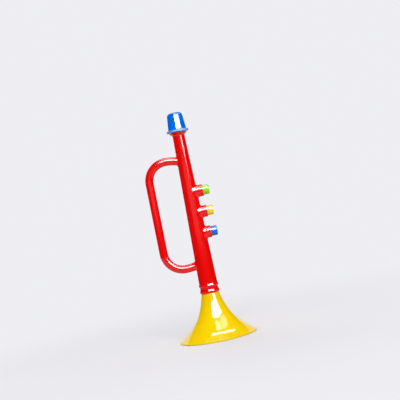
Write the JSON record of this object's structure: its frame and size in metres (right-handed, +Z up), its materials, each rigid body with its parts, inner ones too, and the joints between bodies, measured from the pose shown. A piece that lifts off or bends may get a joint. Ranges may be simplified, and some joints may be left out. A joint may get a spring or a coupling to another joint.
{
  "type": "toy trumpet",
  "caption": "Small plastic toy trumpet with a flared bell, a handle loop, a cup mouthpiece and spring-loaded push valves in short casings.",
  "frame": {"origin": "under the middle of the whole trumpet, on the surface that the bell's rim stands on", "axes": "+Z up along the tube from the bell to the mouthpiece; +X towards the valves, with the handle loop on the -X side; -Y is the side that the picture shows, and the body halves meet at y = 0"},
  "size_m": [0.0637, 0.061, 0.18],
  "materials": {
    "red_plastic": "glossy, moulded, faintly uneven",
    "yellow_plastic": "high gloss, moulded",
    "cap_yellow_plastic": "high gloss, moulded",
    "blue_plastic": "high gloss, moulded",
    "green_plastic": "high gloss, moulded",
    "cream_plastic": "plain moulded",
    "reed_strip": "smooth thin strip",
    "soft_seal": "soft, matt",
    "spring_steel": "drawn wire"
  },
  "bodies": {
    "trumpet": {"body_front_half": "red_plastic", "body_rear_half": "red_plastic", "bell": "yellow_plastic", "mouthpiece_cup": "blue_plastic", "reed_holder": "cream_plastic", "reed_tongue": "reed_strip", "reed_clamp_ring": "cream_plastic", "valve_green_spring": "spring_steel", "valve_yellow_spring": "spring_steel", "valve_blue_spring": "spring_steel"},
    "green_valve": {"valve_green_button": "green_plastic", "valve_green_pad": "soft_seal"},
    "yellow_valve": {"valve_yellow_button": "cap_yellow_plastic", "valve_yellow_pad": "soft_seal"},
    "blue_valve": {"valve_blue_button": "blue_plastic", "valve_blue_pad": "soft_seal"}
  },
  "joints": [
    {"name": "green_valve_press", "type": "slide", "parent": "trumpet", "child": "green_valve", "axis": [-1, 0, 0], "range_m": [0, 0.0036], "stiffness_N_per_m": 250, "springref_m": -0.002, "deforming": ["valve_green_spring"]},
    {"name": "yellow_valve_press", "type": "slide", "parent": "trumpet", "child": "yellow_valve", "axis": [-1, 0, 0], "range_m": [0, 0.0036], "stiffness_N_per_m": 250, "springref_m": -0.002, "deforming": ["valve_yellow_spring"]},
    {"name": "blue_valve_press", "type": "slide", "parent": "trumpet", "child": "blue_valve", "axis": [-1, 0, 0], "range_m": [0, 0.0036], "stiffness_N_per_m": 250, "springref_m": -0.002, "deforming": ["valve_blue_spring"]}
  ]
}
